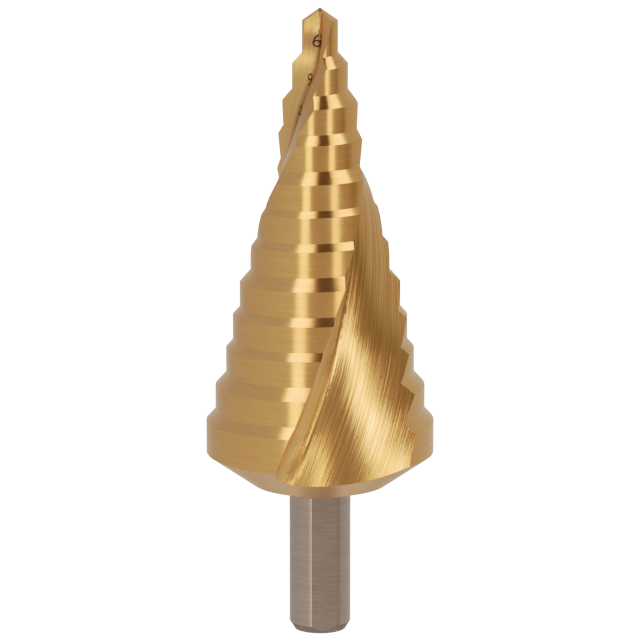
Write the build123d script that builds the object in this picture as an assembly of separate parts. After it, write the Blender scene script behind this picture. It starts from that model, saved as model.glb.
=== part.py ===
from build123d import *
import math
import os

os.makedirs("parts", exist_ok=True)

# A step drill: one solid of high-speed steel.
# Millimetres. Z runs up the drill's axis from the end of the shank, and the point is at the top.
# Angles are degrees about Z, counter-clockwise from above, from the -Y direction.

# Driving sizes
STEP_DIAMETERS = [5.8, 9.0, 12.5, 15.2, 18.6, 20.4, 22.5, 26.0, 28.3, 30.5, 34.0, 37.0]
STEP_LAND = 4.22
SHOULDER_DEG = 42.0
BASE_Z = 29.8
BASE_LAND = 5.8
PILOT_LAND = 5.1
POINT_DEG = 110.0
SHANK_DIAMETER = 10.0
SHANK_FLAT_Z = 22.8
FLAT_DISTANCE = 4.6
FLAT_ANGLE = 7.2
END_CHAMFER_R = 0.8
END_CHAMFER_Z = 1.3
BACK_CONE_KNEE = (11.0, 24.55)

# The two spiral flutes
HELIX_TAN = 0.471
HELIX_R0 = 22.5
HELIX_TAPER = 0.2214
LEAD_AT_BASE = -22.65
CORE_AT_BASE = 14.4
CORE_TAPER = 0.1965
WEB_RADIUS = 0.75
POINT_Z = 102.4
FLUTE_SECTIONS = 18
# By height: how far the rake wall's foot stands ahead of the radial line, the share of that lean which the wall
# has at its edge, the flute's width in degrees, how far its floor bows outward, and the size of its rounded corner
RAKE_OFFSET = [(20, 2.2), (45, 2.2), (56, 1.5), (68, 1.4), (80, 1.9), (90, 2.0), (104, 2.0)]
EDGE_LEAN = [(20, 0.0), (44, 0.0), (48, -0.35), (61, -0.35), (72, 1.0), (104, 1.0)]
EDGE_DEPTH = 1.9
FLUTE_WIDTH = [(20, 71), (35, 73), (60, 73), (70, 75), (76, 81), (82, 87), (88, 95), (94, 98), (104, 98)]
FLOOR_BOW = [(20, 0.075), (50, 0.08), (65, 0.08), (80, 0.07), (90, 0.04), (104, 0.02)]
CORNER_SIZE = [(20, 2.2), (50, 1.8), (80, 1.1), (95, 0.4), (104, 0.3)]

# The axial relief of each shoulder behind its cutting edge, in millimetres per degree
RELIEF = 0.0071
RELIEF_SPAN = 139.0
RELIEF_AHEAD = 22.0


def direction(angle):
    """The unit vector at an angle counted from -Y."""
    a = math.radians(angle - 90.0)
    return Vector(math.cos(a), math.sin(a), 0)


def lead(z):
    """The angle of the front land's cutting edge at height z."""
    h = z - BASE_Z
    turn = HELIX_TAN / HELIX_TAPER * math.log(HELIX_R0 / (HELIX_R0 - HELIX_TAPER * h))
    return LEAD_AT_BASE + math.degrees(turn)


def between(table, z):
    """A value read from a table of heights, straight between its entries."""
    for (z0, v0), (z1, v1) in zip(table, table[1:]):
        if z <= z1:
            t = max(0.0, (z - z0) / (z1 - z0))
            return v0 + (v1 - v0) * t
    return table[-1][1]


# Heights of the steps, from the widest step up to the pilot
rise = 1.0 / math.tan(math.radians(SHOULDER_DEG))
radii = [d / 2 for d in reversed(STEP_DIAMETERS)]
corner_z = [BASE_Z + BASE_LAND]
root_z = []
for wide, narrow in zip(radii, radii[1:]):
    root_z.append(corner_z[-1] + (wide - narrow) * rise)
    land = PILOT_LAND if narrow == radii[-1] else STEP_LAND
    corner_z.append(root_z[-1] + land)


def step_solid(i):
    """One step: a cylinder with a shoulder that falls away behind each cutting edge."""
    r = radii[i]
    r_in = radii[i + 1] - 0.7
    top = root_z[i] + 0.6 * rise
    low = BASE_Z if i == 0 else corner_z[i - 1] - 2.0
    solid = Pos(0, 0, low) * Cylinder(r, top - low, align=(Align.CENTER, Align.CENTER, Align.MIN))
    r_out = r + 1.0
    z_in = (r - r_in) * rise
    z_out = (r - r_out) * rise
    high = root_z[i] - corner_z[i] + 3.0
    corners = [(r_in, z_in), (r_out, z_out), (r_out, high), (r_in, high)]
    wire = Wire.make_polygon([Vector(x, 0, z) for x, z in corners], close=True)
    pitch = RELIEF * 360.0
    path = Edge.make_helix(pitch, pitch * RELIEF_SPAN / 360.0, r)
    cutter = Solid.sweep(Face(wire), path, is_frenet=True)
    start = lead(corner_z[i]) + RELIEF_AHEAD - RELIEF_SPAN
    down = corner_z[i] - RELIEF * (RELIEF_SPAN - RELIEF_AHEAD)
    for half in (0.0, 180.0):
        solid = solid - Pos(0, 0, down) * Rot(0, 0, start + half - 90.0) * cutter
    return solid


def flute_face(z):
    """The flute's cross-section at height z: rake wall in two slopes, rounded corner, floor, and outside."""
    a = lead(z)
    r = min(radii[0], radii[0] - 0.2414 * (z - corner_z[0]))
    r = max(r, 2.6)
    far = r + 5.0
    core = max(WEB_RADIUS, CORE_AT_BASE - CORE_TAPER * (z - BASE_Z))
    ahead = min(between(RAKE_OFFSET, z), 0.92 * core)
    width = between(FLUTE_WIDTH, z)
    bow = between(FLOOR_BOW, z)
    soft = between(CORNER_SIZE, z)
    root = direction(a + math.degrees(math.asin(ahead / core))) * core
    edge = direction(a) * r
    heel = direction(a + width) * r
    full = math.degrees(math.atan2(ahead, r - math.sqrt(core * core - ahead * ahead)))
    lean = full * between(EDGE_LEAN, z)
    inward = direction(a - lean) * -1.0
    depth = min(EDGE_DEPTH, 0.45 * (edge - root).length)
    turn = edge + inward * depth
    slope = (root - turn).normalized()
    chord = heel - root
    out = Vector(chord.Y, -chord.X, 0).normalized()
    if out.dot(heel + root) < 0:
        out = out * -1.0
    mid = root + chord * 0.5 + out * (chord.length * bow * 2.0)
    floor_dir = (mid - root).normalized()
    tail_dir = (heel - mid).normalized()
    soft = min(soft, 0.6 * (root - turn).length)
    p0 = edge - inward * 5.0
    w1 = turn - inward * (0.35 * depth)
    w2 = turn + slope * (0.35 * depth)
    p1 = root - slope * soft
    p2 = root + floor_dir * soft
    p3 = heel + tail_dir * 4.0
    p4 = direction(a + width * 0.55) * (far * 1.7)
    edges = [
        Edge.make_line(p0, w1),
        Edge.make_bezier(w1, turn, w2),
        Edge.make_line(w2, p1),
        Edge.make_bezier(p1, root, p2),
        Edge.make_bezier(p2, mid, p3),
        Edge.make_line(p3, p4),
        Edge.make_line(p4, p0),
    ]
    return Wire(edges).moved(Location((0, 0, z)))


# The body: every step joined to a round core, the back cone and the point
body = step_solid(0)
for i in range(1, len(radii) - 1):
    body = body + step_solid(i)
pilot_low = corner_z[-2] - 2.0
pilot_top = corner_z[-1]
point_h = radii[-1] / math.tan(math.radians(POINT_DEG / 2))
knee_r, knee_z = BACK_CONE_KNEE
shank_r = SHANK_DIAMETER / 2
pilot_points = [(0, pilot_low), (radii[-1], pilot_low), (radii[-1], pilot_top), (0, pilot_top + point_h)]
pilot = Wire.make_polygon([Vector(x, 0, z) for x, z in pilot_points], close=True)
body = body + revolve(Face(pilot), Axis.Z, 360)
lower_points = [
    (0, 0),
    (shank_r - END_CHAMFER_R, 0),
    (shank_r, END_CHAMFER_Z),
    (shank_r, SHANK_FLAT_Z),
    (knee_r, knee_z),
    (radii[0], BASE_Z),
    (radii[0], BASE_Z + 1.0),
    (0, BASE_Z + 1.0),
]
lower = Wire.make_polygon([Vector(x, 0, z) for x, z in lower_points], close=True)
body = body + revolve(Face(lower), Axis.Z, 360)

# The spiral flutes, half a turn apart
z_low = BASE_Z - 9.0
z_high = POINT_Z + 1.5
heights = [z_low + (z_high - z_low) * k / (FLUTE_SECTIONS - 1) for k in range(FLUTE_SECTIONS)]
flute = Solid.make_loft([flute_face(z) for z in heights])
for half in (0.0, 180.0):
    body = body - Rot(0, 0, half) * flute

# Three flats on the shank for the chuck's jaws
for k in range(3):
    at = direction(FLAT_ANGLE + 120.0 * k) * (FLAT_DISTANCE + 2.5)
    place = Pos(at.X, at.Y, SHANK_FLAT_Z / 2 - 1) * Rot(0, 0, FLAT_ANGLE + 120.0 * k)
    body = body - place * Box(12, 5, SHANK_FLAT_Z + 2)

solids = body.solids()
print("solids", len(solids), "volumes", [round(s.volume, 1) for s in solids])
drill = solids[0]
box = drill.bounding_box()
print("box", box.min, box.max, "centre", drill.center(CenterOf.MASS))
drill.label = "step_drill"
export_step(drill, "parts/step_drill.step")
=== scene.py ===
"""A step drill of high-speed steel with a titanium nitride coating, standing on the end of its shank."""

import math

import bmesh
import bpy
import numpy as np
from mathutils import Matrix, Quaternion, Vector
from mathutils.bvhtree import BVHTree


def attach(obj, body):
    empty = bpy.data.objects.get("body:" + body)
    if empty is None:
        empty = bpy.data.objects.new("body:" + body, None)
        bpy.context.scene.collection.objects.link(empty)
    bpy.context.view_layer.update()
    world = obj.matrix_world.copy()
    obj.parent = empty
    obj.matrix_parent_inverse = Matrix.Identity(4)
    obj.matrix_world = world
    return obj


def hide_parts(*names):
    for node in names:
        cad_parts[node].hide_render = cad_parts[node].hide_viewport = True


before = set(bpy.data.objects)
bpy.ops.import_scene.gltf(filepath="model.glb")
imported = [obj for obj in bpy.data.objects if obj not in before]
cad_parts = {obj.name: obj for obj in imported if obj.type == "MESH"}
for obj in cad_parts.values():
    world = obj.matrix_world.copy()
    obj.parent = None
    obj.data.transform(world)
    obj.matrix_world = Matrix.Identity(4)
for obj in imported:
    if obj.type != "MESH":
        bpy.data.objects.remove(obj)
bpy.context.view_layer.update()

# Sizes of the drill in millimetres, as in its source. Angles are counted from -Y, counter-clockwise from above.
MM = 0.001
STEP_DIAMETERS = [5.8, 9.0, 12.5, 15.2, 18.6, 20.4, 22.5, 26.0, 28.3, 30.5, 34.0, 37.0]
STEP_LAND = 4.22
SHOULDER_DEG = 42.0
BASE_Z = 29.8
BASE_LAND = 5.8
PILOT_LAND = 5.1
POINT_DEG = 110.0
SHANK_R = 5.0
SHANK_FLAT_Z = 22.8
FLAT_DISTANCE = 4.6
FLAT_ANGLE = 7.2
END_R = 4.2
END_CHAMFER_Z = 1.3
KNEE_R = 11.0
KNEE_Z = 24.55
HELIX_TAN = 0.471
HELIX_R0 = 22.5
HELIX_TAPER = 0.2214
LEAD_AT_BASE = -22.65
CORE_AT_BASE = 14.4
CORE_TAPER = 0.1965
WEB_RADIUS = 0.75
FLUTE_TAPER = 0.2414
EDGE_DEPTH = 1.9
# The flute's least outer radius, how much of the core its rake may stand ahead, how much of the wall its edge and its
# corner may take, how far the edge is softened, and how far the outline runs past its edge and its heel
EDGE_R_LEAST = 2.6
AHEAD_MOST = 0.92
DEPTH_MOST = 0.45
CORNER_MOST = 0.6
EDGE_SOFTNESS = 0.35
PAST_EDGE = 5.0
PAST_HEEL = 4.0
# By height: how far the rake wall's foot stands ahead of the radial line, the share of that lean which the wall has at
# its edge, the flute's width in degrees, how far its floor bows outward, and the size of its rounded corner
RAKE_OFFSET = [(20, 2.2), (45, 2.2), (56, 1.5), (68, 1.4), (80, 1.9), (90, 2.0), (104, 2.0)]
EDGE_LEAN = [(20, 0.0), (44, 0.0), (48, -0.35), (61, -0.35), (72, 1.0), (104, 1.0)]
FLUTE_WIDTH = [(20, 71), (35, 73), (60, 73), (70, 75), (76, 81), (82, 87), (88, 95), (94, 98), (104, 98)]
FLOOR_BOW = [(20, 0.075), (50, 0.08), (65, 0.08), (80, 0.07), (90, 0.04), (104, 0.02)]
CORNER_SIZE = [(20, 2.2), (50, 1.8), (80, 1.1), (95, 0.4), (104, 0.3)]
# Each shoulder's fall behind its cutting edge in millimetres a degree, and how many degrees ahead of the edge it starts
RELIEF = 0.0071
RELIEF_AHEAD = 22.0

# Where the parts of the flute's outline meet, as values of u, and how many points it is searched at
WALL_ENDS = 3.0
CORNER_MIDDLE = 3.5
FLOOR_STARTS = 4.0
OUTLINE_END = 5.0
OUTLINE_POINTS = 501
# The rounded corner is shaded as a narrow fold: as the wall's foot up to 3.4 and as the floor's root from 3.6 on.
FOLD_AT = [0, 2.98, 3.4, 3.6, 4.02, 5]
FOLD_SHADED_AS = [0, 2.98, 2.98, 4.02, 4.02, 5]
# The flute's shading is turned from that of its form, so that its highlights sweep down it; the form stays. By height,
# in degrees about the axis, counter-clockwise from above: on the wall, at the floor's root, from HEEL_SPAN past the
# root to the heel, and what is added over LIP_SPAN from LIP_STARTS.
HEEL_SPAN = 0.6
LIP_STARTS = 4.4
LIP_SPAN = 0.4
WALL_EASE = [(20, -22.0), (50, -22.0), (64, 0.0), (104, 0.0)]
ROOT_EASE = [(27, -13.0), (31, -11.0), (34, -7.0), (41, -1.0), (47, 0.0), (51.5, 4.8), (56, 3.2), (66, 0.0)]
HEEL_EASE = [(27, -3.0), (34, -1.0), (41, 1.0), (47, -2.0), (51.5, 0.0), (104, 0.0)]
LIP_EASE = [(27, 0.0), (30.5, 0.0), (34, 3.0), (38, 1.5), (41, 0.0), (104, 0.0)]
# A face goes to the surface where it costs least: its distance from it, in the flutes more past ON_OUTLINE, and
# OTHER_PART on the wrong side of the wall's foot, and up to twice FACING_COST the further it faces away. Points are
# welded when they agree to WELD_PLACES decimals.
ON_OUTLINE = 0.2
OTHER_PART = 9.0
FACING_COST = 0.5
WELD_PLACES = 4

rise = 1.0 / math.tan(math.radians(SHOULDER_DEG))
radii = [d / 2 for d in reversed(STEP_DIAMETERS)]
corner_z = [BASE_Z + BASE_LAND]
root_z = []
for wide, narrow in zip(radii, radii[1:]):
    root_z.append(corner_z[-1] + (wide - narrow) * rise)
    corner_z.append(root_z[-1] + (PILOT_LAND if narrow == radii[-1] else STEP_LAND))
point_z = corner_z[-1] + radii[-1] / math.tan(math.radians(POINT_DEG / 2))


# ---- The drill's surfaces ----


def lead(z):
    """The angle of the front land's cutting edge at heights z."""
    turn = HELIX_TAN / HELIX_TAPER * np.log(HELIX_R0 / (HELIX_R0 - HELIX_TAPER * (z - BASE_Z)))
    return LEAD_AT_BASE + np.degrees(turn)


def direction(angle):
    """Unit vectors in the plan at angles counted from -Y."""
    return np.stack([np.sin(np.radians(angle)), -np.cos(np.radians(angle))], -1)


def length(v):
    """Lengths of vectors, ready to divide by."""
    return np.linalg.norm(v, axis=-1, keepdims=True)


def bend(a, b, c, t):
    """Points of the curve from a to c that leaves a towards b."""
    return (1 - t) ** 2 * a + 2 * t * (1 - t) * b + t**2 * c


def flute_section(z, u):
    """The front flute's outline in the plan: u is 0-3 down the rake wall, 3-4 round the corner, 4-5 over the floor."""
    z = np.asarray(z, float)[..., None]
    a = lead(z)
    r = np.clip(radii[0] - FLUTE_TAPER * (z - corner_z[0]), EDGE_R_LEAST, radii[0])
    core = np.maximum(WEB_RADIUS, CORE_AT_BASE - CORE_TAPER * (z - BASE_Z))
    ahead = np.minimum(np.interp(z, *zip(*RAKE_OFFSET)), AHEAD_MOST * core)
    width = np.interp(z, *zip(*FLUTE_WIDTH))
    bow = np.interp(z, *zip(*FLOOR_BOW))[..., None]
    root = direction(a + np.degrees(np.arcsin(ahead / core))) * core[..., None]
    edge = direction(a) * r[..., None]
    heel = direction(a + width) * r[..., None]
    full = np.degrees(np.arctan2(ahead, r - np.sqrt(core**2 - ahead**2)))
    inward = -direction(a - full * np.interp(z, *zip(*EDGE_LEAN)))
    depth = np.minimum(EDGE_DEPTH, DEPTH_MOST * length(edge - root))
    turn = edge + inward * depth
    slope = (root - turn) / length(root - turn)
    soft = np.minimum(np.interp(z, *zip(*CORNER_SIZE))[..., None], CORNER_MOST * length(root - turn))
    chord = heel - root
    out = np.stack([chord[..., 1], -chord[..., 0]], -1)
    mid = root + chord * 0.5 + out * bow * 2.0
    floor = (mid - root) / length(mid - root)
    tail = (heel - mid) / length(heel - mid)
    w1 = turn - inward * EDGE_SOFTNESS * depth
    w2 = turn + slope * EDGE_SOFTNESS * depth
    p1 = root - slope * soft
    p2 = root + floor * soft
    u = np.asarray(u, float)[..., None]
    lines = [
        edge - inward * PAST_EDGE + (w1 - edge + inward * PAST_EDGE) * np.clip(u, 0, 1),
        bend(w1, turn, w2, u - 1),
        w2 + (p1 - w2) * (u - 2),
        bend(p1, root, p2, u - 3),
        bend(p2, mid, heel + tail * PAST_HEEL, u - 4),
    ]
    return np.select([u < 1, u < 2, u < 3, u < 4], lines[:4], lines[4])


def on_flute(p):
    """For points p: how far they are from the front flute, its shading normal, how far across it they are, and u."""
    steps = np.linspace(0.0, OUTLINE_END, OUTLINE_POINTS)
    lines = flute_section(p[:, 2], np.broadcast_to(steps, (len(p), len(steps))))
    gap = np.linalg.norm(lines - p[:, None, :2], axis=-1)
    k = np.clip(gap.argmin(1), 1, len(steps) - 2)
    row = np.arange(len(p))
    along = lines[row, k + 1] - lines[row, k - 1]
    shift = ((p[:, :2] - lines[row, k]) * along).sum(-1) / (along**2).sum(-1)
    u = steps[k] + np.clip(shift, -0.5, 0.5) * 2 * (steps[1] - steps[0])
    reach = np.cumsum(length(np.diff(lines, axis=1))[..., 0], axis=1)
    reach = np.concatenate([np.zeros((len(p), 1)), reach], axis=1)
    corner = np.searchsorted(steps, CORNER_MIDDLE)
    across = reach[row, k] - reach[:, corner] + shift * length(along)[:, 0]
    v = np.interp(u, FOLD_AT, FOLD_SHADED_AS)
    lift, step = 0.4, 0.01
    after = flute_section(p[:, 2], (v + step)[:, None])[:, 0]
    before = flute_section(p[:, 2], (v - step)[:, None])[:, 0]
    level = np.concatenate([after - before, np.zeros((len(p), 1))], axis=1)
    above = flute_section(p[:, 2] + lift, v[:, None])[:, 0]
    below = flute_section(p[:, 2] - lift, v[:, None])[:, 0]
    climb = np.concatenate([(above - below) / (2 * lift), np.ones((len(p), 1))], axis=1)
    normal = np.cross(climb, level)
    normal /= np.linalg.norm(normal, axis=1, keepdims=True)
    tables = (WALL_EASE, ROOT_EASE, HEEL_EASE, LIP_EASE)
    wall, root, heel, lip = [np.interp(p[:, 2], *zip(*table)) for table in tables]
    floor = root + (heel - root) * np.clip((v - FLOOR_STARTS) / HEEL_SPAN, 0, 1)
    floor = floor + lip * np.clip((v - LIP_STARTS) / LIP_SPAN, 0, 1)
    ease = np.radians(wall + (floor - wall) * np.clip(v - WALL_ENDS, 0, 1))
    cos, sin = np.cos(ease), np.sin(ease)
    x, y = normal[:, 0], normal[:, 1]
    normal = np.stack([x * cos - y * sin, x * sin + y * cos, normal[:, 2]], -1)
    away = np.abs(((p[:, :2] - lines[row, k]) * np.stack([along[:, 1], -along[:, 0]], -1)).sum(-1))
    away = away / np.linalg.norm(along, axis=-1) + np.maximum(0, gap[row, k] - ON_OUTLINE)
    return away, normal, across, u


def surfaces(p, phi, r):
    """Every surface that point p may be on, as (finish, distance, normal, distance across, distance along)."""
    radial = np.concatenate([direction(phi), np.zeros((len(p), 1))], axis=1)
    round_way = np.stack([-radial[:, 1], radial[:, 0], radial[:, 2]], -1)
    up = np.zeros_like(p) + (0, 0, 1)
    turn = np.radians(phi)
    found = []
    for step_r in radii:
        found.append(("land", np.abs(r - step_r), radial, turn * step_r, p[:, 2]))
    found.append(("shank", np.abs(r - SHANK_R), radial, turn * SHANK_R, p[:, 2]))
    for k in range(len(radii) - 1):
        behind = (lead(corner_z[k]) - phi + RELIEF_AHEAD) % 180 - RELIEF_AHEAD
        high = corner_z[k] - RELIEF * behind + (radii[k] - r) * rise
        tilt = radial * rise - round_way * (math.degrees(RELIEF) / np.maximum(r, 1))[:, None] + up
        tilt = tilt / np.linalg.norm(tilt, axis=1, keepdims=True)
        gap = np.abs(p[:, 2] - high) * math.sin(math.radians(SHOULDER_DEG))
        gap = gap + np.maximum(0, r - radii[k]) + np.maximum(0, radii[k + 1] - r)
        found.append(("shoulder", gap, tilt, turn * radii[k], r))
    cones = [
        ("chamfer", (END_R, 0), (SHANK_R, END_CHAMFER_Z)),
        ("back", (SHANK_R, SHANK_FLAT_Z), (KNEE_R, KNEE_Z)),
        ("back", (KNEE_R, KNEE_Z), (radii[0], BASE_Z)),
        ("shoulder", (radii[-1], corner_z[-1]), (0, point_z)),
    ]
    for finish, (r0, z0), (r1, z1) in cones:
        size = math.hypot(r1 - r0, z1 - z0)
        nr, nz = (z1 - z0) / size, -(r1 - r0) / size
        gap = np.abs((r - r0) * nr + (p[:, 2] - z0) * nz)
        gap = gap + np.maximum(0, z0 - p[:, 2]) + np.maximum(0, p[:, 2] - z1)
        found.append((finish, gap, radial * nr + up * nz, turn * max(r0, r1), r))
    for k in range(3):
        n = np.append(direction(FLAT_ANGLE + 120.0 * k), 0)
        side = np.append(direction(FLAT_ANGLE + 120.0 * k + 90), 0)
        gap = np.abs(p @ n - FLAT_DISTANCE) + np.maximum(0, p[:, 2] - SHANK_FLAT_Z)
        found.append(("flat", gap, np.zeros_like(p) + n, p @ side, p[:, 2]))
    for z in (0.0, SHANK_FLAT_Z):
        found.append(("shank", np.abs(p[:, 2] - z), -up, turn * r, r))
    for half in (1, -1):
        away, normal, across, u = on_flute(p * (half, half, 1))
        on_wall = np.repeat(u.reshape(-1, 3).mean(1) < WALL_ENDS, 3)
        found.append(("rake", away + OTHER_PART * ~on_wall, normal * (half, half, 1), across, p[:, 2]))
        found.append(("flute", away + OTHER_PART * on_wall, normal * (half, half, 1), across, p[:, 2]))
    return found


# The drill's finishes in the order of its material slots
FINISHES = ["land", "shoulder", "rake", "flute", "back", "shank", "flat", "chamfer"]


def drill_mesh(cad):
    """
    The drill's mesh with one finish per surface and a millimetre map along each. Its normals are worked out from the
    surface each face is on, and in the flutes they are turned by the tables above.
    """
    co = np.zeros(len(cad.vertices) * 3)
    cad.vertices.foreach_get("co", co)
    co = co.reshape(-1, 3) / MM
    welded, index = np.unique(np.round(co, WELD_PLACES), axis=0, return_inverse=True)
    faces = index.reshape(-1)[np.array([tuple(f.vertices) for f in cad.polygons])]
    keep = (faces[:, 0] != faces[:, 1]) & (faces[:, 1] != faces[:, 2]) & (faces[:, 2] != faces[:, 0])
    faces = faces[keep]
    p = welded[faces]
    side = np.cross(p[:, 1] - p[:, 0], p[:, 2] - p[:, 0])
    side = side / np.maximum(1e-12, np.linalg.norm(side, axis=1, keepdims=True))
    middle = p.mean(1)
    phi0 = np.degrees(np.arctan2(middle[:, 0], -middle[:, 1]))
    flat_p = p.reshape(-1, 3)
    phi = np.degrees(np.arctan2(flat_p[:, 0], -flat_p[:, 1]))
    first = np.repeat(phi0, 3)
    phi = first + (phi - first + 180) % 360 - 180
    r = np.hypot(flat_p[:, 0], flat_p[:, 1])
    found = surfaces(flat_p, phi, r)
    best = np.full(len(faces), np.inf)
    finish = np.zeros(len(faces), int)
    normals = np.zeros_like(flat_p)
    across = np.zeros(len(flat_p))
    along = np.zeros(len(flat_p))
    for name, gap, normal, a, b in found:
        sign = np.sign((normal.reshape(-1, 3, 3) * side[:, None]).sum(-1).sum(-1))
        if name in ("rake", "flute"):
            normal = normal * np.repeat(np.where(sign == 0, 1, sign), 3)[:, None]
        facing = (normal.reshape(-1, 3, 3) * side[:, None]).sum(-1).mean(-1)
        cost = gap.reshape(-1, 3).max(-1) + FACING_COST * (1 - facing)
        better = cost < best
        best = np.where(better, cost, best)
        finish = np.where(better, FINISHES.index(name), finish)
        three = np.repeat(better, 3)
        normals = np.where(three[:, None], normal, normals)
        across = np.where(three, a, across)
        along = np.where(three, b, along)
    mesh = bpy.data.meshes.new("step_drill_ground")
    mesh.from_pydata([tuple(v * MM) for v in welded], [], faces.tolist())
    mesh.polygons.foreach_set("material_index", finish.astype(np.int32))
    mesh.polygons.foreach_set("use_smooth", np.ones(len(faces), bool))
    layer = mesh.uv_layers.new(name="millimetres")
    layer.data.foreach_set("uv", np.stack([across, along], -1).ravel().astype(np.float32))
    mesh.update()
    mesh.normals_split_custom_set(normals.tolist())
    return mesh


# ---- Finishes ----


def linear(code):
    """A hex sRGB colour as linear red, green, blue and alpha."""
    values = [int(code[i : i + 2], 16) / 255 for i in (1, 3, 5)]
    return [v / 12.92 if v <= 0.04045 else ((v + 0.055) / 1.055) ** 2.4 for v in values] + [1.0]


def add(tree, kind, settings=None, inputs=None):
    """Adds a node. Settings are its properties or a ramp's stops; each input gets a number or another node's output."""
    node = tree.nodes.new(kind)
    for name, value in (settings or {}).items():
        if name == "stops":
            while len(node.color_ramp.elements) < len(value):
                node.color_ramp.elements.new(0.5)
            for element, (at, colour) in zip(node.color_ramp.elements, value):
                element.position = at
                element.color = colour
        else:
            setattr(node, name, value)
    for name, value in (inputs or {}).items():
        if isinstance(value, bpy.types.NodeSocket):
            tree.links.new(value, node.inputs[name])
        else:
            node.inputs[name].default_value = value
    return node


def material_with(name):
    """A new material and its empty node tree."""
    material = bpy.data.materials.new(name)
    material.use_nodes = True
    material.node_tree.nodes.clear()
    return material, material.node_tree


# The anisotropic turn for marks that run along a surface's first direction, or along its second
FIRST_WAY = 0.25
SECOND_WAY = 0.0
# Noise levels at which the marks' colour is deepest and lightest, and at which the roughness is least and greatest
MARK_LEVELS = (0.32, 0.68)
DRIFT_LEVELS = (0.3, 0.7)
# In millimetres: the length over which the roughness drifts, and the heights at which the corner's painted shade begins
# and is full; then the share of the corner's half width that has all of it
DRIFT = 6.0
CORNER_SHADE_CLIMB = (60.0, 75.0)
CORNER_SHADE_FULL = 0.4
# The colour sockets of a Mix node, which can't be told apart by name
COLOUR_A, COLOUR_B, COLOUR_OUT = 6, 7, 2


def ground_metal(name, light, deep, rough, grain, lift, anisotropy, turn, detail=3.0, corner=None, calm=None):
    """
    Metal with grinding marks one grain = (across, along) in mm and lift mm deep, that run along the surface's first
    direction (turn FIRST_WAY) or its second (SECOND_WAY). Its colour goes from deep to light with the marks, and its
    roughness drifts between two values. A flute's corner = (colour, half width in mm) gets painted shade: higher up,
    its colour is mixed towards that darker colour near the corner. The marks fade by calm = (height where that
    begins, height where it ends, how much is gone there).
    """
    material, tree = material_with(name)
    place = add(tree, "ShaderNodeUVMap", {"uv_map": "millimetres"}).outputs["UV"]
    noise = {"noise_dimensions": "2D"}
    scale = (1 / grain[0], 1 / grain[1], 1)
    marks_at = add(tree, "ShaderNodeMapping", {}, {"Vector": place, "Scale": scale})
    marks = {"Vector": marks_at.outputs["Vector"], "Scale": 1.0, "Detail": detail, "Roughness": 0.6}
    marks = add(tree, "ShaderNodeTexNoise", noise, marks).outputs["Fac"]
    if calm:
        begin, end, gone = calm
        parts = add(tree, "ShaderNodeSeparateXYZ", {}, {"Vector": place})
        span = {"Value": parts.outputs["Y"], "From Min": begin, "From Max": end, "To Min": 0.0, "To Max": gone}
        share = add(tree, "ShaderNodeMapRange", {}, span).outputs["Result"]
        marks = add(tree, "ShaderNodeMix", {}, {"Factor": share, "A": marks, "B": 0.5}).outputs["Result"]
    drift = {"Vector": place, "Scale": 1 / DRIFT, "Detail": 2.0, "Roughness": 0.5}
    drift = add(tree, "ShaderNodeTexNoise", noise, drift).outputs["Fac"]
    stops = [(MARK_LEVELS[0], linear(deep)), (MARK_LEVELS[1], linear(light))]
    colour = add(tree, "ShaderNodeValToRGB", {"stops": stops}, {"Fac": marks}).outputs["Color"]
    # Painted shade: higher up, the colour near the flute's corner is mixed towards a darker one.
    if corner:
        painted_shade, half = corner
        parts = add(tree, "ShaderNodeSeparateXYZ", {}, {"Vector": place})
        low, high = CORNER_SHADE_CLIMB
        climb = {"Value": parts.outputs["Y"], "From Min": low, "From Max": high, "To Min": 0.0, "To Max": 1.0}
        climb = add(tree, "ShaderNodeMapRange", {}, climb).outputs["Result"]
        off = add(tree, "ShaderNodeMath", {"operation": "ABSOLUTE"}, {0: parts.outputs["X"]}).outputs[0]
        soft = {"Value": off, "From Min": half * CORNER_SHADE_FULL, "From Max": half, "To Min": 1.0, "To Max": 0.0}
        painted_shade_share = add(tree, "ShaderNodeMapRange", {"interpolation_type": "SMOOTHSTEP"}, soft).outputs["Result"]
        painted_shade_share = add(tree, "ShaderNodeMath", {"operation": "MULTIPLY"}, {0: painted_shade_share, 1: climb}).outputs[0]
        tint = {"Factor": painted_shade_share, COLOUR_A: colour, COLOUR_B: linear(painted_shade)}
        colour = add(tree, "ShaderNodeMix", {"data_type": "RGBA"}, tint).outputs[COLOUR_OUT]
    low, high = DRIFT_LEVELS
    shine = {"Value": drift, "From Min": low, "From Max": high, "To Min": rough[0], "To Max": rough[1]}
    shine = add(tree, "ShaderNodeMapRange", {}, shine).outputs["Result"]
    bump = add(tree, "ShaderNodeBump", {}, {"Height": marks, "Strength": 1.0, "Distance": lift * MM})
    way = {"direction_type": "UV_MAP", "uv_map": "millimetres"}
    shader = {
        "Base Color": colour,
        "Metallic": 1.0,
        "Roughness": shine,
        "Anisotropic": anisotropy,
        "Anisotropic Rotation": turn,
        "Normal": bump.outputs["Normal"],
        "Tangent": add(tree, "ShaderNodeTangent", way).outputs["Tangent"],
    }
    shader = add(tree, "ShaderNodeBsdfPrincipled", {}, shader)
    add(tree, "ShaderNodeOutputMaterial", {}, {"Surface": shader.outputs["BSDF"]})
    return material


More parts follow.
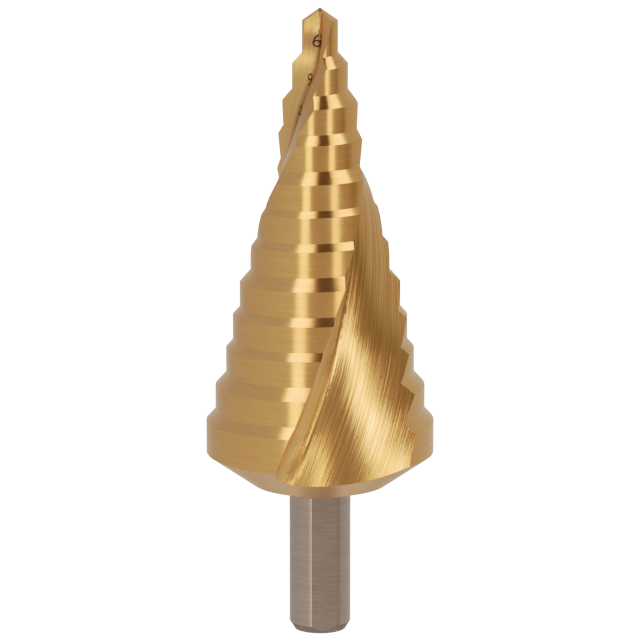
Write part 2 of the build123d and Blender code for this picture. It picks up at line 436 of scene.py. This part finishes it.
finishes = {
    # Titanium nitride on cylindrically ground steel: the gold coat is a few microns thick, so it keeps the fine rings
    # that the wheel left round each step. They smear a reflection up and down, and leave it sharp from side to side.
    "land": ground_metal(
        "titanium_nitride_on_ground_steps", "#F6C27B", "#EFBA72", (0.2, 0.26), (9.0, 0.35), 0.003, 0.7, FIRST_WAY
    ),
    # The same coat on the relief-ground shoulders and the point: shorter marks and a slightly brighter cut.
    "shoulder": ground_metal(
        "titanium_nitride_on_relief_ground_shoulders",
        "#F6C37D",
        "#EFBA72",
        (0.17, 0.22),
        (5, 0.3),
        0.003,
        0.6,
        FIRST_WAY,
    ),
    # The same coat on the rake faces, which the side of the wheel left smooth: satin, with faint lines along the edge.
    "rake": ground_metal(
        "titanium_nitride_on_ground_rake_faces",
        "#F8C884",
        "#EDBB78",
        (0.27, 0.33),
        (0.45, 30),
        0.004,
        0.3,
        SECOND_WAY,
        detail=2.0,
    ),
    # The same coat in the flutes, which a formed wheel ground along the helix: long coarse score lines that break
    # every reflection into bright and dark streaks. Real lines are 0.05-0.1 mm apart, drawn at 0.2 mm so that they
    # show. Higher up they are fainter, and the corner is darkened there with painted shade.
    "flute": ground_metal(
        "titanium_nitride_on_wheel_ground_flutes",
        "#FBC982",
        "#D9A056",
        (0.15, 0.2),
        (0.2, 26),
        0.022,
        0.2,
        SECOND_WAY,
        detail=2.0,
        # Painted shade: the upper corner is mixed towards this darker gold.
        corner=("#CDA266", 0.6),
        calm=(64, 80, 0.8),
    ),
    # The back of the cone was turned and then coated: satin gold, which pales where it is seen at a glancing angle.
    "back": ground_metal(
        "titanium_nitride_on_turned_back_cone", "#F2C994", "#E9BE88", (0.3, 0.36), (8.0, 0.3), 0.003, 0.4, FIRST_WAY
    ),
    # The shank is bare centreless-ground steel: warm grey with fine rings.
    "shank": ground_metal(
        "bare_ground_steel_shank", "#C9B7AB", "#BEACA0", (0.24, 0.3), (7, 0.3), 0.003, 0.7, FIRST_WAY
    ),
    # Its end chamfer was turned and left a little rougher, and is drawn as a darker rim: that darker grey is painted
    # shade.
    "chamfer": ground_metal(
        "bare_turned_steel_chamfer_with_painted_shade", "#A2948A", "#8F8177", (0.3, 0.36), (5, 0.3), 0.003, 0.4, FIRST_WAY
    ),
    # Its three flats were milled across: cross marks and a slightly duller grey.
    "flat": ground_metal(
        "bare_milled_steel_flats", "#B9A79B", "#AC9A8E", (0.22, 0.28), (4, 0.3), 0.003, 0.6, FIRST_WAY
    ),
}

# ---- The drill ----

body = bpy.data.objects.new("ground_step_drill", drill_mesh(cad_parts["step_drill"].data))
bpy.context.scene.collection.objects.link(body)
for name in FINISHES:
    body.data.materials.append(finishes[name])
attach(body, "root")
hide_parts("step_drill")

# The step sizes, marked by laser in the back flute's rake face: the beam turns the coat to a dull brown-black oxide.
mark, tree = material_with("laser_marked_oxide")
place = add(tree, "ShaderNodeTexCoord").outputs["Object"]
speckle = {"Vector": place, "Scale": 1 / (0.3 * MM), "Detail": 2.0}
speckle = add(tree, "ShaderNodeTexNoise", {}, speckle).outputs["Fac"]
stops = [(0.35, linear("#2A1206")), (0.65, linear("#42220E"))]
scorch = add(tree, "ShaderNodeValToRGB", {"stops": stops}, {"Fac": speckle}).outputs["Color"]
scorch = {"Base Color": scorch, "Metallic": 0.0, "Roughness": 0.7, "Specular IOR Level": 0.15}
scorch = add(tree, "ShaderNodeBsdfPrincipled", {}, scorch)
add(tree, "ShaderNodeOutputMaterial", {}, {"Surface": scorch.outputs["BSDF"]})

# In millimetres, how far a mark stands above the face and reaches into it. In the lettering's own units, how much its
# strokes are thinned, the edge length past which it is divided so that it follows the curved face, and how near points
# are merged. Then the way it is laid on, and from how far in front in metres.
MARK_LIFT = 0.012
MARK_DEPTH = 0.05
STROKE_OFFSET = -0.006
LONGEST_EDGE = 0.1
SAME_POINT = 1e-5
VIEW_WAY = Vector((0.0, 0.98, -0.197))
START_BACK = 0.1
drill_surface = BVHTree.FromObject(body, bpy.context.evaluated_depsgraph_get())


def size_mark(text, x, z, width, height, tilt):
    """A marked number, sunk into the rake face behind the point (x, z) of the front plane; sizes in millimetres."""
    curve = bpy.data.curves.new("size_mark_" + text, "FONT")
    curve.body = text
    curve.extrude = 0.5
    curve.offset = STROKE_OFFSET
    curve.resolution_u = 6
    outline = bpy.data.objects.new("outline", curve)
    bpy.context.scene.collection.objects.link(outline)
    solid = bmesh.new()
    evaluated = outline.evaluated_get(bpy.context.evaluated_depsgraph_get())
    solid.from_mesh(bpy.data.meshes.new_from_object(evaluated))
    bpy.data.objects.remove(outline)
    bmesh.ops.remove_doubles(solid, verts=solid.verts, dist=SAME_POINT)
    bmesh.ops.triangulate(solid, faces=solid.faces)
    bmesh.ops.subdivide_edges(solid, edges=[e for e in solid.edges if e.calc_length() > LONGEST_EDGE], cuts=2)
    low = Vector([min(v.co[k] for v in solid.verts) for k in range(2)])
    high = Vector([max(v.co[k] for v in solid.verts) for k in range(2)])
    turn = math.radians(tilt)
    for v in solid.verts:
        a = ((v.co.x - low.x) / (high.x - low.x) - 0.5) * width
        b = ((v.co.y - low.y) / (high.y - low.y) - 0.5) * height
        start_x = x + a * math.cos(turn) - b * math.sin(turn)
        start_z = z + a * math.sin(turn) + b * math.cos(turn)
        start = Vector((start_x, 0, start_z)) * MM
        hit, normal, _, _ = drill_surface.ray_cast(start - VIEW_WAY * START_BACK, VIEW_WAY)
        v.co = hit + normal * (MARK_LIFT if v.co.z > 0 else -MARK_DEPTH) * MM
    bmesh.ops.recalc_face_normals(solid, faces=solid.faces)
    mesh = bpy.data.meshes.new("size_mark_" + text)
    solid.to_mesh(mesh)
    solid.free()
    mesh.materials.append(mark)
    piece = bpy.data.objects.new("size_mark_" + text, mesh)
    bpy.context.scene.collection.objects.link(piece)
    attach(piece, "root")


size_mark("6", -0.5, 96.8, 1.4, 2.1, 0.0)
size_mark("9", -1.62, 90.5, 0.78, 2.1, -8.0)
size_mark("12", -3.15, 85.6, 0.5, 1.7, -8.0)

# ---- Floor, light and camera ----

FLOOR_REACH = 6
floor_mesh = bpy.data.meshes.new("pale_floor")
corners = [(x * FLOOR_REACH, y * FLOOR_REACH, 0) for x, y in ((-1, -1), (1, -1), (1, 1), (-1, 1))]
floor_mesh.from_pydata(corners, [], [(0, 1, 2, 3)])
floor = bpy.data.objects.new("pale_floor", floor_mesh)
bpy.context.scene.collection.objects.link(floor)
# Matt white paper, lit through from below so that it has no horizon.
paper, tree = material_with("white_matt_paper")
white = {
    "Base Color": linear("#F4F4F4"),
    "Roughness": 0.9,
    "Emission Color": linear("#FFFFFF"),
    "Emission Strength": 2.0,
}
white = add(tree, "ShaderNodeBsdfPrincipled", {}, white)
add(tree, "ShaderNodeOutputMaterial", {}, {"Surface": white.outputs["BSDF"]})
floor.data.materials.append(paper)
# The floor is left out of reflections and shadows, so that the metal also gets light from below the table's level.
floor.visible_glossy = False
floor.visible_shadow = False

# The room by compass direction, from behind the drill over its left, front and right to behind it again:
# pale walls, a darker camera side, and a dark flag at the front right.
ROOM = [
    (-180, (0.56, 0.56, 0.58)),
    (-135, (0.42, 0.43, 0.47)),
    (-90, (0.46, 0.47, 0.47)),
    (-55, (0.53, 0.54, 0.51)),
    (-24, (0.54, 0.54, 0.5)),
    (-18, (0.4, 0.37, 0.32)),
    (0, (0.34, 0.31, 0.25)),
    (18, (0.36, 0.33, 0.28)),
    (38, (0.36, 0.32, 0.25)),
    (56, (0.36, 0.3, 0.22)),
    (69, (0.25, 0.2, 0.12)),
    (77, (0.27, 0.23, 0.15)),
    (86, (0.42, 0.41, 0.37)),
    (130, (0.5, 0.51, 0.5)),
    (180, (0.56, 0.56, 0.58)),
]
CEILING_SLOT = (0.12, 0.08, 0.045, 1.0)
# The table by how far down one looks: 1 is level, 0 straight down.
TABLE = [
    (0.1, (0.6, 0.6, 0.6)),
    (0.3, (0.56, 0.55, 0.54)),
    (0.38, (0.4, 0.37, 0.32)),
    (0.48, (0.52, 0.49, 0.44)),
    (0.58, (0.66, 0.63, 0.58)),
]
# The level of the white that stands behind the drill, which only the camera sees
SWEEP = 2.2

world = bpy.data.worlds.new("studio")
bpy.context.scene.world = world
world.use_nodes = True
tree = world.node_tree
tree.nodes.clear()
where = add(tree, "ShaderNodeTexCoord").outputs["Generated"]
parts = add(tree, "ShaderNodeSeparateXYZ", {}, {"Vector": where})
front = add(tree, "ShaderNodeMath", {"operation": "MULTIPLY"}, {0: parts.outputs["Y"], 1: -1.0})
turned = add(tree, "ShaderNodeMath", {"operation": "ARCTAN2"}, {0: parts.outputs["X"], 1: front.outputs[0]})
to_compass = {0: turned.outputs[0], 1: 0.5 / math.pi, 2: 0.5}
compass = add(tree, "ShaderNodeMath", {"operation": "MULTIPLY_ADD"}, to_compass)
stops = [((at + 180) / 360, (*colour, 1.0)) for at, colour in ROOM]
room = add(tree, "ShaderNodeValToRGB", {"stops": stops}, {"Fac": compass.outputs[0]})
# A dark ceiling slot between the two overhead soft boxes, wider on the right, and the pale table below. Each line is
# a direction's part, where it begins and ends to change, and its values there.
fades = []
for part, low, high, at_low, at_high in (
    ("X", -0.3, -0.1, 0.0, 1.0),
    ("X", 0.22, 0.3, 1.0, 0.0),
    ("Z", 0.55, 0.85, 0.0, 1.0),
    ("Z", -0.22, -0.38, 0.0, 1.0),
):
    span = {"Value": parts.outputs[part], "From Min": low, "From Max": high, "To Min": at_low, "To Max": at_high}
    fades.append(add(tree, "ShaderNodeMapRange", {"interpolation_type": "SMOOTHSTEP"}, span).outputs["Result"])
slot = add(tree, "ShaderNodeMath", {"operation": "MULTIPLY"}, {0: fades[0], 1: fades[1]})
slot = add(tree, "ShaderNodeMath", {"operation": "MULTIPLY"}, {0: slot.outputs[0], 1: fades[2]})
ceiling = {"Factor": slot.outputs[0], COLOUR_A: room.outputs["Color"], COLOUR_B: CEILING_SLOT}
ceiling = add(tree, "ShaderNodeMix", {"data_type": "RGBA"}, ceiling).outputs[COLOUR_OUT]
down = add(tree, "ShaderNodeMath", {"operation": "ADD"}, {0: parts.outputs["Z"], 1: 1.0}).outputs[0]
stops = [(at, (*colour, 1.0)) for at, colour in TABLE]
table = add(tree, "ShaderNodeValToRGB", {"stops": stops}, {"Fac": down}).outputs["Color"]
table = {"Factor": fades[3], COLOUR_A: ceiling, COLOUR_B: table}
table = add(tree, "ShaderNodeMix", {"data_type": "RGBA"}, table).outputs[COLOUR_OUT]
studio = add(tree, "ShaderNodeBackground", {}, {"Color": table, "Strength": 1.0})
sweep = add(tree, "ShaderNodeBackground", {}, {"Color": (1, 1, 1, 1), "Strength": SWEEP})
path = add(tree, "ShaderNodeLightPath")
seen = {0: path.outputs["Is Camera Ray"], 1: studio.outputs[0], 2: sweep.outputs[0]}
seen = add(tree, "ShaderNodeMixShader", {}, seen)
add(tree, "ShaderNodeOutputWorld", {}, {"Surface": seen.outputs[0]})

# Soft boxes: compass direction, height above the horizon and lean in degrees, width and height in metres, level in
# watts a square metre over pi, and tint.
SOFT_BOXES = {
    "low_soft_box_left": (-26.4, -12.0, 6.0, 0.29, 0.97, 1.45, (1.0, 0.84, 0.86)),
    "low_soft_box_right": (28.3, -18.0, -4.0, 0.26, 0.75, 1.3, (1.0, 0.84, 0.86)),
    "tall_soft_box_right": (33.0, 18.0, -8.0, 0.44, 0.75, 1.95, (1.0, 1.0, 1.2)),
    "overhead_soft_box_left": (-52.0, 66.5, 20.0, 0.38, 0.5, 1.85, (1.0, 0.86, 0.93)),
    "overhead_soft_box_right": (75.0, 61.0, 0.0, 0.4, 0.7, 1.82, (1.0, 0.86, 0.93)),
}
BOX_DISTANCE = 1.2
BOX_AIM = Vector((0, 0, 0.06))
for name, (azimuth, elevation, lean, width, height, level, tint) in SOFT_BOXES.items():
    light = bpy.data.lights.new(name, "AREA")
    light.shape = "RECTANGLE"
    light.size = width
    light.size_y = height
    light.color = tint
    light.energy = level * math.pi * width * height
    holder = bpy.data.objects.new(name, light)
    a, e = math.radians(azimuth), math.radians(elevation)
    away = Vector((math.sin(a) * math.cos(e), -math.cos(a) * math.cos(e), math.sin(e)))
    holder.location = BOX_AIM + away * BOX_DISTANCE
    holder.rotation_mode = "QUATERNION"
    holder.rotation_quaternion = away.to_track_quat("Z", "Y") @ Quaternion((0, 0, 1), math.radians(lean))
    holder.visible_camera = False
    bpy.context.scene.collection.objects.link(holder)

# The camera stands 0.63 m in front and 0.18 m up, and looks 11.33 degrees down.
camera_data = bpy.data.cameras.new("camera")
camera_data.lens = 223.5
camera_data.sensor_width = 36.0
camera_data.clip_start = 0.01
camera = bpy.data.objects.new("camera", camera_data)
camera.location = (0.0, -0.63075, 0.17779)
camera.rotation_euler = (math.radians(78.67), 0.0, 0.0)
bpy.context.scene.collection.objects.link(camera)
bpy.context.scene.camera = camera

# A print's tone curve: straight up to the middle greys, then a long shoulder that whitens the brightest gold.
TONES = [(0.25, 0.25), (0.45, 0.45), (0.7, 0.59), (1.0, 0.73), (1.35, 0.86), (1.7, 0.95)]
WHITE = 2.0
ALL_CHANNELS = 3
view = bpy.context.scene.view_settings
view.view_transform = "Standard"
view.use_curve_mapping = True
view.curve_mapping.white_level = (WHITE, WHITE, WHITE)
for level, shown in TONES:
    view.curve_mapping.curves[ALL_CHANNELS].points.new(level / WHITE, shown)
view.curve_mapping.update()
